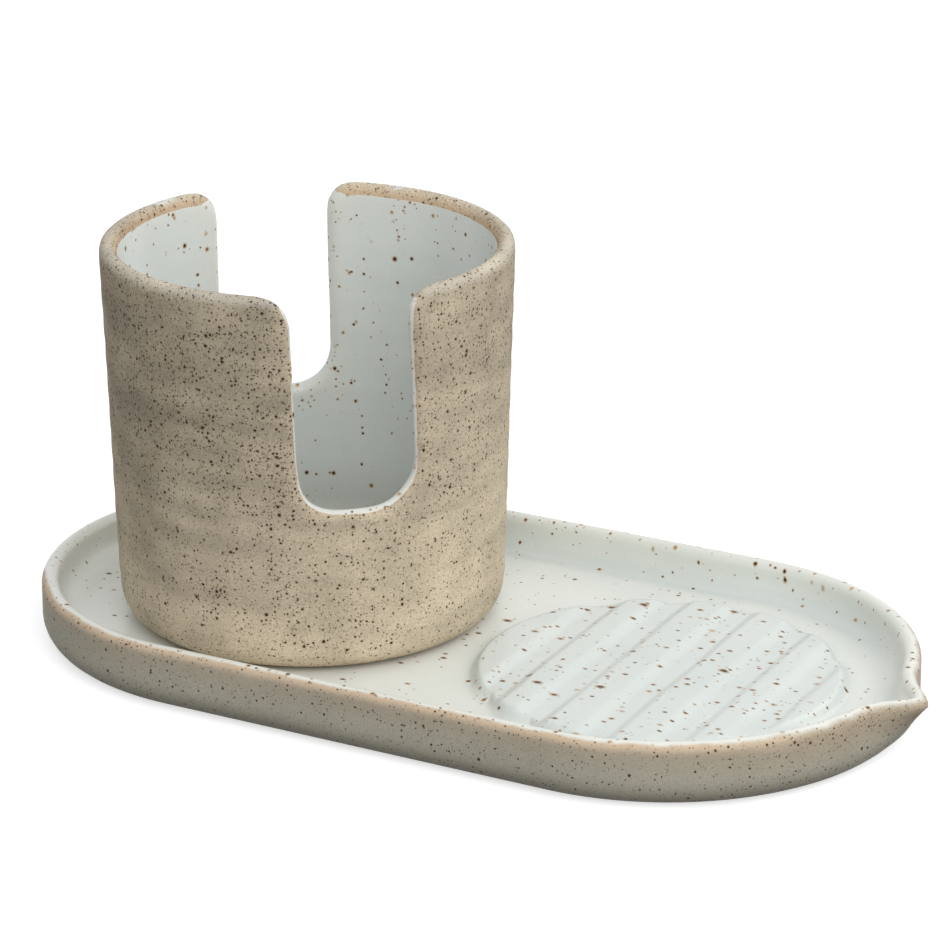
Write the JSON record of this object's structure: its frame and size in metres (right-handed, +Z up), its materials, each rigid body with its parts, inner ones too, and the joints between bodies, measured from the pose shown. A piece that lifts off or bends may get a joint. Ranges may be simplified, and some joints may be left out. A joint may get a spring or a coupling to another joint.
{
  "type": "sink caddy",
  "caption": "Stoneware sink caddy: a slotted round sponge cup stands loose on an oval drip tray with a ribbed soap rest and a pouring lip.",
  "frame": {"origin": "middle of the tray's footprint, pouring lip included, on the surface that it stands on", "axes": "+X along the tray from the cup's end to the pouring lip, +Y across the tray, +Z up"},
  "size_m": [0.2662, 0.141, 0.1169],
  "materials": {
    "glazed_stoneware": "white satin glaze over speckled stoneware, with a bare clay band on the rim's outer edge",
    "bare_stoneware": "matt sandy stoneware with fine dark specks outside, pale speckled glaze inside"
  },
  "bodies": {
    "tray": {"drip_tray": "glazed_stoneware"},
    "cup": {"sponge_cup": "bare_stoneware"}
  },
  "joints": [
    {"name": "cup_lift", "type": "slide", "parent": "tray", "child": "cup", "axis": [0, 0, 1], "range_m": [0, 0.12]}
  ]
}
